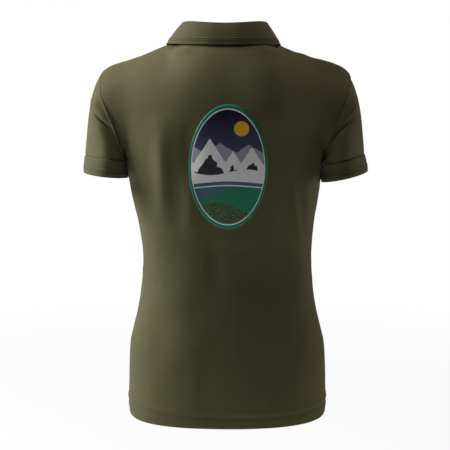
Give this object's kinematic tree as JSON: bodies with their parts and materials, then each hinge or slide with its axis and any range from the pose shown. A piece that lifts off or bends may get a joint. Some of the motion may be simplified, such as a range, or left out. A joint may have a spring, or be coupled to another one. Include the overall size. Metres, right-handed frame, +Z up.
{
  "type": "polo shirt",
  "caption": "Women's short-sleeved pique polo shirt, filled out as worn, with ribbed collar and cuffs, a buttoned placket, a plain hem and an oval landscape print on the back.",
  "frame": {"origin": "on the neck's axis, level with the seam at the back of the neck", "axes": "+X is the wearer's right, +Y the wearer's front, +Z up; the back of the shirt faces -Y"},
  "size_m": [0.4834, 0.2458, 0.6629],
  "materials": {
    "pique": "matt pique knit in military green",
    "rib": "matt flat-knitted rib with three knit-in ridges along the edge",
    "tape": "matt herringbone cotton tape",
    "print": "thin flexible transfer film, slightly glossier than the cloth",
    "button": "dyed-to-match plastic, four holes"
  },
  "bodies": {
    "root": {"back_panel": "pique", "front_panel": "pique", "sleeve_left": "pique", "sleeve_right": "pique", "hem_back": "pique", "hem_front": "pique", "placket_upper": "pique", "placket_under": "pique", "collar": "rib", "cuff_left": "rib", "cuff_right": "rib", "neck_tape": "tape", "back_print": "print", "button_1": "button", "button_2": "button", "button_3": "button", "button_4": "button"}
  },
  "joints": []
}
